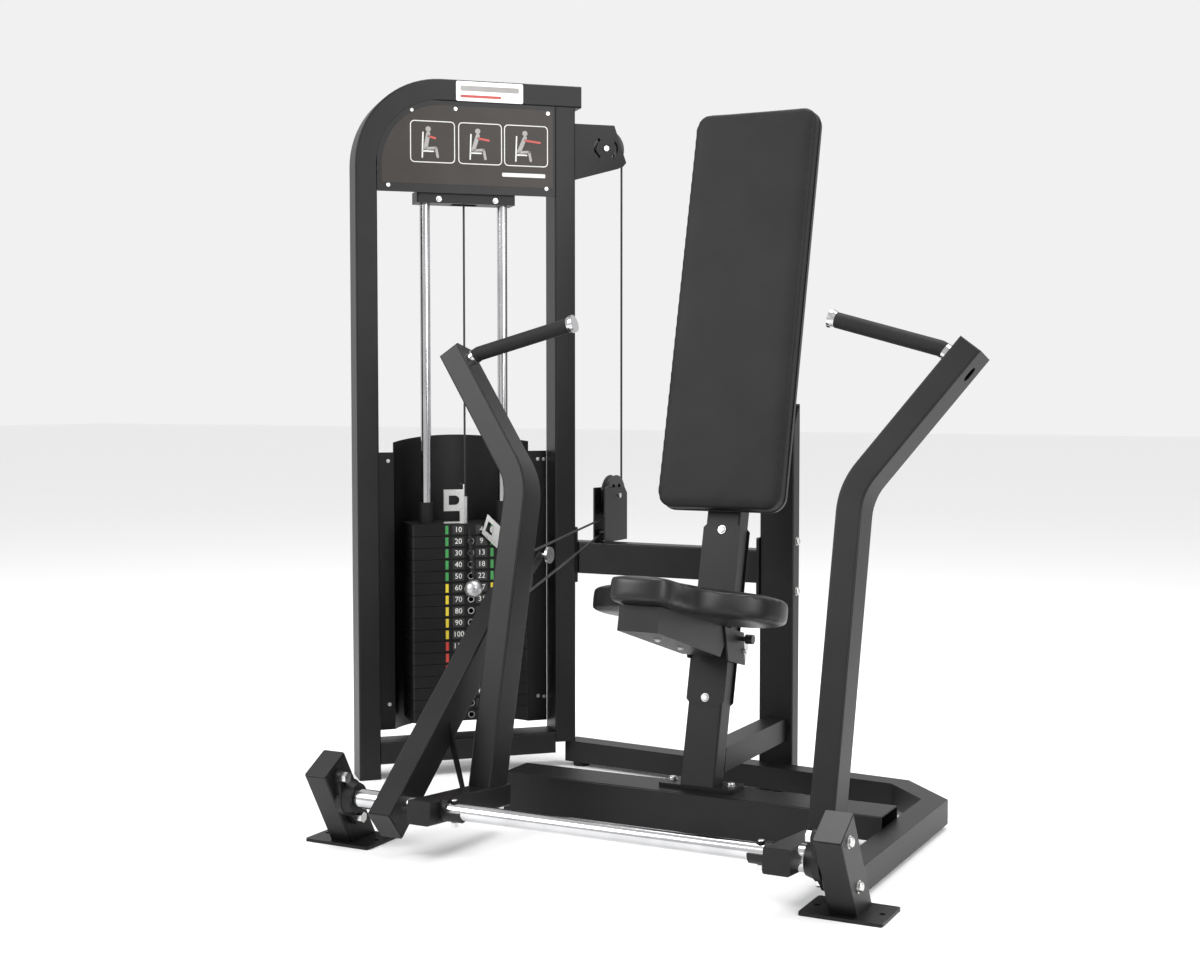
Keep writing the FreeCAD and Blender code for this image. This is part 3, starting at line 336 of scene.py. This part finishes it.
def fit_local(mesh, like):
    """Bring a mesh to another's extent, measured along the mast."""
    to_local = MAST.inverted()
    here = [to_local @ v.co for v in mesh.vertices]
    there = [to_local @ v.co for v in like.vertices]
    for axis in range(3):
        low, high = min(p[axis] for p in here), max(p[axis] for p in here)
        low_to, high_to = min(p[axis] for p in there), max(p[axis] for p in there)
        for point in here:
            point[axis] = low_to + (point[axis] - low) * (high_to - low_to) / (high - low)
    for vert, point in zip(mesh.vertices, here):
        vert.co = MAST @ point


def relax(mesh, steps):
    """Even out the small steps that the remesh leaves, and round the edges over."""
    bm = bmesh.new()
    bm.from_mesh(mesh)
    for _ in range(steps):
        bmesh.ops.smooth_vert(bm, verts=bm.verts, factor=0.5, use_axis_x=True, use_axis_y=True, use_axis_z=True)
    bm.to_mesh(mesh)
    bm.free()


def evaluated(obj):
    """The object's mesh with its modifiers applied."""
    view = bpy.context.evaluated_depsgraph_get()
    return bpy.data.meshes.new_from_object(obj.evaluated_get(view))


BACK_VINYL = coated("back_vinyl", (0.0060, 0.0060, 0.0063), (0.0085, 0.0085, 0.0088), (0.50, 0.62), 2200, 0.35,
                    specular=0.22)
SEAT_VINYL = coated("seat_vinyl", (0.0045, 0.0045, 0.0048), (0.0070, 0.0070, 0.0074), (0.33, 0.42), 1500, 0.05,
                    specular=0.35)
SEAM = coated("seam_piping", (0.006, 0.006, 0.006), (0.010, 0.010, 0.010), (0.4, 0.5), 2600, 0.3)

swollen("back_pad", "back_cushion", "frame", 0.006, 0.003, 1, 1, BACK_VINYL)
swollen("seat_pad", "seat_cushion", "seat", 0.005, 0.006, 10, 4, SEAT_VINYL)


def welt(name, place, outline, y, radius, body, mat):
    """Thin closed piping along an outline in the local XZ plane."""
    curve = bpy.data.curves.new(name, "CURVE")
    curve.dimensions = "3D"
    curve.bevel_depth = radius
    curve.bevel_resolution = 3
    spline = curve.splines.new("POLY")
    spline.points.add(len(outline) - 1)
    for point, (x, z) in zip(spline.points, outline):
        point.co = (*(place @ Vector((x, y, z))), 1)
    spline.use_cyclic_u = True
    holder = bpy.data.objects.new(name + "_path", curve)
    mesh = bpy.data.meshes.new_from_object(holder)
    bpy.data.objects.remove(holder)
    return keep(name, mesh, [mat], body, smooth=0)


BACK_HALF, BACK_LOW, BACK_HIGH, BACK_DEEP, BACK_CORNER = 0.138, 0.568, 1.439, 0.046, 0.034
BOARD_DEEP = 0.012
bm = bmesh.new()
sheet_of(bm, MAST, rounded(-BACK_HALF, BACK_HALF, BACK_LOW, BACK_HIGH, BACK_CORNER, 12), -BOARD_DEEP,
         BOARD_DEEP - 0.0005)
keep("back_pad_board", mesh_of("back_pad_board", bm), [PLASTIC], "frame")
welt("back_pad_welt", MAST, rounded(-BACK_HALF - 0.0005, BACK_HALF + 0.0005, BACK_LOW - 0.0005, BACK_HIGH + 0.0005,
                                    BACK_CORNER, 12), -BOARD_DEEP, 0.0016, "frame", SEAM)

# ------------------------------------------------------- weight stack labels
BODY_OF_ROW = {}
PITCH, STACK_BASE, ROWS, RESTING = 0.027, 0.129, 16, 11
STACK_FRONT = -0.057
LABEL_BLACK = coated("label_ground", (0.010, 0.010, 0.010), (0.014, 0.014, 0.014), (0.3, 0.4), 900, 0.1)
LABEL_WHITE = coated("label_white", (0.62, 0.62, 0.60), (0.70, 0.70, 0.68), (0.4, 0.5), 900, 0.1)
LABEL_GREEN = coated("label_green", (0.03, 0.22, 0.05), (0.04, 0.28, 0.07), (0.35, 0.45), 900, 0.1)
LABEL_YELLOW = coated("label_yellow", (0.55, 0.42, 0.02), (0.65, 0.50, 0.03), (0.35, 0.45), 900, 0.1)
LABEL_RED = coated("label_red", (0.42, 0.03, 0.02), (0.52, 0.05, 0.03), (0.35, 0.45), 900, 0.1)
HOLE_RIM = coated("hole_rim", (0.30, 0.30, 0.30), (0.42, 0.42, 0.41), (0.25, 0.35), 900, 0.1, metallic=1.0)
LABEL_MATS = [LABEL_BLACK, LABEL_WHITE, LABEL_GREEN, LABEL_YELLOW, LABEL_RED, HOLE_RIM]


def row_labels(bm, row):
    """Colour bars and printed weights on the front edge of one plate, counted from the top plate down."""
    z = STACK_BASE + PITCH * (ROWS - row) + PITCH / 2
    color = 2 if row < 5 else 3 if row < 10 else 4
    half = PITCH / 2 - 0.0035
    for middle in (-0.0565, 0.0505):
        sheet_of(bm, TOWER, rounded(middle - 0.0035, middle + 0.0035, z - half, z + half, 0.001), STACK_FRONT - 0.0006,
                 0.0006, color)
    pounds = 10 + 10 * row
    for middle, value in ((-0.0295, pounds), (0.0255, int(pounds * 0.4536))):
        sheet_of(bm, TOWER, rounded(middle - 0.0135, middle + 0.0135, z - half, z + half, 0.0015),
                 STACK_FRONT - 0.0006, 0.0006, 0)
        figures(bm, TOWER, str(value), 0.0175, middle, z, STACK_FRONT - 0.0008, 1)
    if row:
        ring_of(bm, TOWER, disc(0, z, 0.0078), disc(0, z, 0.0058), STACK_FRONT - 0.0008, 0.0008, 5)


lifted_bm, resting_bm = bmesh.new(), bmesh.new()
for row in range(ROWS + 1):
    row_labels(lifted_bm if row <= ROWS - RESTING else resting_bm, row)
keep("labels_lifted", mesh_of("labels_lifted", lifted_bm), LABEL_MATS, "stack")
keep("labels_resting", mesh_of("labels_resting", resting_bm), LABEL_MATS, "frame")

# ------------------------------------------------------------ tower placard
PLACARD_BROWN = coated("placard_ground", (0.020, 0.016, 0.014), (0.027, 0.022, 0.019), (0.28, 0.36), 500, 0.08,
                       specular=0.2)
PLACARD_BLACK = coated("placard_border", (0.006, 0.006, 0.006), (0.009, 0.009, 0.009), (0.28, 0.36), 500, 0.08,
                       specular=0.2)
PRINT_WHITE = coated("print_white", (0.50, 0.50, 0.48), (0.58, 0.58, 0.56), (0.35, 0.45), 900, 0.05)
PRINT_GREY = coated("print_grey", (0.22, 0.21, 0.20), (0.28, 0.27, 0.26), (0.35, 0.45), 900, 0.05)
PRINT_RED = coated("print_red", (0.34, 0.03, 0.02), (0.42, 0.04, 0.03), (0.35, 0.45), 900, 0.05)
PLACARD_MATS = [PLACARD_BROWN, PLACARD_BLACK, PRINT_WHITE, PRINT_GREY, PRINT_RED]
FACE = -0.0395      # front face of the placard
frame["nodes"]["placard"].data.materials[0] = PLACARD_BLACK

bm = bmesh.new()
FRAMES = ((-0.1335, -0.0290), (-0.0215, 0.0820), (0.0870, 0.1925))
FRAME_LOW, FRAME_HIGH = 1.4155, 1.5105
BEND_X, BEND_Z, BEND_R = -0.0595, 1.407, 0.140
corner = [(BEND_X - BEND_R * math.sin(math.radians(9 * k)), BEND_Z + BEND_R * math.cos(math.radians(9 * k)))
          for k in range(11)]
sheet_of(bm, TOWER, [(-0.1995, 1.368), (0.204, 1.368), (0.204, BEND_Z + BEND_R)] + corner, FACE - 0.0004, 0.0004, 0)
LAYER = FACE - 0.0007
for left, right in FRAMES:
    ring_of(bm, TOWER, rounded(left, right, FRAME_LOW, FRAME_HIGH, 0.010),
            rounded(left + 0.0022, right - 0.0022, FRAME_LOW + 0.0022, FRAME_HIGH - 0.0022, 0.008), LAYER, 0.0003, 2)
for k, (left, right) in enumerate(FRAMES):
    x0 = left + 0.018
    base = FRAME_LOW + 0.012
    lean = 0.004 * k
    sheet_of(bm, TOWER, disc(x0 + 0.024 + lean, base + 0.064, 0.0062), LAYER, 0.0003, 3)
    stroke(bm, TOWER, [(x0 + 0.024 + lean, base + 0.054), (x0 + 0.018, base + 0.022)], 0.0095, LAYER, 0.0003, 3)
    stroke(bm, TOWER, [(x0 + 0.020, base + 0.020), (x0 + 0.042, base + 0.022), (x0 + 0.046, base + 0.002)], 0.006,
           LAYER, 0.0003, 3)
    reach = 0.014 + 0.014 * k
    stroke(bm, TOWER, [(x0 + 0.024 + lean, base + 0.048), (x0 + 0.026 + reach, base + 0.044)], 0.0048, LAYER, 0.0003,
           4)
    stroke(bm, TOWER, [(x0 + 0.010, base), (x0 + 0.012, base + 0.056)], 0.0034, LAYER, 0.0003, 2)
    stroke(bm, TOWER, [(x0 + 0.010, base + 0.014), (x0 + 0.036, base + 0.014)], 0.0034, LAYER, 0.0003, 2)
sheet_of(bm, TOWER, rounded(0.082, 0.186, 1.3905, 1.3995, 0.003), LAYER, 0.0003, 2)
sheet_of(bm, TOWER, disc(-0.129, 1.533, 0.004), LAYER, 0.0003, 2)
keep("placard_print", mesh_of("placard_print", bm), PLACARD_MATS, "frame")

# Plain plaque on the top beam: two grey bars, with no mark.
BEAM_FACE = -0.040
bm = bmesh.new()
sheet_of(bm, TOWER, rounded(-0.026, 0.1325, 1.559, 1.604, 0.004), BEAM_FACE - 0.0009, 0.0009, 0)
sheet_of(bm, TOWER, rounded(-0.016, 0.1225, 1.582, 1.594, 0.003), BEAM_FACE - 0.0012, 0.0003, 1)
sheet_of(bm, TOWER, rounded(-0.016, 0.080, 1.567, 1.573, 0.002), BEAM_FACE - 0.0012, 0.0003, 2)
PLAQUE_WHITE = coated("plaque_white", (0.70, 0.70, 0.69), (0.76, 0.76, 0.75), (0.3, 0.4), 500, 0.05)
keep("beam_plaque", mesh_of("beam_plaque", bm), [PLAQUE_WHITE, PRINT_GREY, PRINT_RED], "frame")

# -------------------------------------------------- bright fasteners and knob
def repaint(node, mat, chosen):
    """Give the faces of a CAD node that a test picks out a second material."""
    mesh = frame["nodes"][node].data
    mesh.materials.append(mat)
    for poly in mesh.polygons:
        if chosen(poly.center):
            poly.material_index = 1


SEAT_BOLTS = [MAST @ Vector(at) for at in ((0, -0.260, 0.269), (0, -0.150, 0.2655), (0.049, 0.072, 0.288))]
BAR_SOCKET_R = 0.0213
TAB_OUTER = 0.022
repaint("seat_bracket", ZINC, lambda at: any((at - bolt).length < 0.0105 for bolt in SEAT_BOLTS))
repaint("bar_cradles", ZINC, lambda at: math.hypot(at.y - PIVOT.y, at.z - PIVOT.z) > BAR_SOCKET_R)
repaint("lever_axle", BLACK_PAINT, lambda at: at.x < centre("lever_pulley").x + TAB_OUTER)

SATIN = coated("satin_steel", (0.38, 0.38, 0.39), (0.44, 0.44, 0.45), (0.34, 0.42), 900, 0.04, metallic=1.0)
frame["nodes"]["selector_pin"].data.materials[0] = SATIN

# ------------------------------------------------------------------- cables
CABLE_RADIUS = 0.0025
SHEAVE = 0.04455           # wheel centre to cable centre
BLOCK_AT = centre("block_pulley")
LEVER_AT = centre("lever_pulley")
ANCHOR = Vector((BLOCK_AT.x, ORIGIN.y + 0.862, 0.560))


def around(wheel, angle, radius=SHEAVE):
    return wheel + Vector((0, math.cos(angle), math.sin(angle))) * radius


def cable_tube(name, points, body, radius=CABLE_RADIUS, sides=4):
    """Round cable along a line of points, with both ends closed."""
    curve = bpy.data.curves.new(name, "CURVE")
    curve.dimensions = "3D"
    curve.bevel_depth = radius
    curve.bevel_resolution = sides
    curve.use_fill_caps = True
    spline = curve.splines.new("POLY")
    spline.points.add(len(points) - 1)
    for point, place in zip(spline.points, points):
        point.co = (*place, 1)
    holder = bpy.data.objects.new(name + "_path", curve)
    mesh = bpy.data.meshes.new_from_object(holder)
    bpy.data.objects.remove(holder)
    return keep(name, mesh, [CABLE], body, smooth=0)


def arc(wheel, start, end, steps=24):
    return [around(wheel, start + (end - start) * k / steps) for k in range(steps + 1)]


def stretched_run(name, fixed, moving, count):
    """Straight cable from a frame wheel to the lever, in short lengths."""
    for k in range(count):
        a, b = k / count, (k + 1) / count
        steps = [fixed.lerp(moving, a + (b - a) * i / 8) for i in range(9)]
        obj = cable_tube("%s_%d" % (name, k + 1), steps, None)
        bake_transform(obj)


span = BLOCK_AT - LEVER_AT
cross = math.atan2(span.z, span.y) + math.acos(2 * SHEAVE / math.hypot(span.y, span.z))
back = ANCHOR - LEVER_AT
back_angle = math.atan2(back.z, back.y) - math.acos(SHEAVE / math.hypot(back.y, back.z))
block_wrap = cable_tube("lever_cable_block_wrap", arc(BLOCK_AT, 0.0, cross - math.pi), "frame")
cable_tube("lever_cable_lever_wrap", arc(LEVER_AT, cross, 2 * math.pi + back_angle), "press_arms")
stretched_run("lever_cable_upper", around(BLOCK_AT, cross - math.pi), around(LEVER_AT, cross), 6)
lever_off = around(LEVER_AT, back_angle)
stretched_run("lever_cable_lower", ANCHOR + (lever_off - ANCHOR).normalized() * 0.00705, lever_off, 6)
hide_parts("lever_cable")

# Coiled retaining lanyard from the selector pin's knob up to the top plate.
PIN = centre("selector_pin")
LANYARD_TURNS, LANYARD_R, WIRE_R = 26, 0.0042, 0.0011
hung_low = TOWER @ Vector((0.0, -0.083, PIN.z + 0.0215))
hung_high = TOWER @ Vector((-0.0045, -0.0585, 0.576))
side_way = (TOWER.to_3x3() @ Vector((1, 0, 0))).normalized()
rise = (hung_high - hung_low).normalized()
out_way = rise.cross(side_way).normalized()
coil = [hung_low]
for k in range(LANYARD_TURNS * 12 + 1):
    part = k / (LANYARD_TURNS * 12)
    turn = 2 * math.pi * LANYARD_TURNS * part
    wide = LANYARD_R * min(1.0, 12 * part, 12 * (1 - part))
    coil.append(hung_low.lerp(hung_high, 0.02 + 0.96 * part)
                + side_way * wide * math.cos(turn) - out_way * wide * math.sin(turn))
coil.append(hung_high)
lanyard = cable_tube("pin_lanyard", coil, None, WIRE_R, 2)
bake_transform(lanyard)

# The stack cable, as a straight riser between the stack and the top pulley, with a mesh of its own.
low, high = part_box("stack_cable")
middle = (low + high) / 2
drop = [Vector((middle.x, middle.y, low.z + (high.z - low.z) * k / 12)) for k in range(13)]
riser = cable_tube("stack_cable_riser", drop, "frame")
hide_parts("stack_cable")
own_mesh(riser)

# ------------------------------------------------- camera, floor and lights
CAMERA_AT = ORIGIN + Vector((1.372, -2.680, 0.900))
AZIMUTH = math.radians(27.137)
ELEVATION = math.radians(3.101)
camera_data = bpy.data.cameras.new("camera")
camera_data.lens = 50.52
camera_data.sensor_width = 36.0
camera_data.sensor_fit = "HORIZONTAL"
camera = bpy.data.objects.new("camera", camera_data)
camera.location = CAMERA_AT
camera.rotation_euler = (math.pi / 2 - ELEVATION, 0, AZIMUTH)
bpy.context.collection.objects.link(camera)
bpy.context.scene.camera = camera


def plain_material(name, color, rough):
    mat, nodes, links, bsdf = shader(name)
    bsdf.inputs["Base Color"].default_value = (*color, 1)
    bsdf.inputs["Roughness"].default_value = rough
    return mat


bpy.ops.mesh.primitive_plane_add(size=60, location=(0, 0, -0.0005))
floor = bpy.context.object
floor.name = "floor"
floor.data.materials.append(plain_material("floor_white", (0.93, 0.93, 0.93), 0.8))

world = bpy.data.worlds.new("studio")
world.use_nodes = True
bpy.context.scene.world = world
bpy.context.scene.view_settings.view_transform = "Standard"
background = world.node_tree.nodes["Background"]
background.inputs["Color"].default_value = (1, 1, 1, 1)
background.inputs["Strength"].default_value = 0.88


def softbox(name, at, aim, size, power):
    light = bpy.data.lights.new(name, "AREA")
    light.shape = "RECTANGLE"
    light.size, light.size_y = size
    light.energy = power
    obj = bpy.data.objects.new(name, light)
    obj.location = at
    obj.rotation_euler = (Vector(aim) - Vector(at)).to_track_quat("-Z", "Y").to_euler()
    bpy.context.collection.objects.link(obj)


softbox("key", (-2.6, -3.2, 3.0), (0, 0, 0.7), (2.4, 2.4), 160)
softbox("fill", (3.4, -1.6, 2.2), (0, 0, 0.8), (2.0, 2.6), 90)
softbox("top", (0.2, 0.6, 3.6), (0, 0.1, 0.5), (3.0, 2.0), 90)
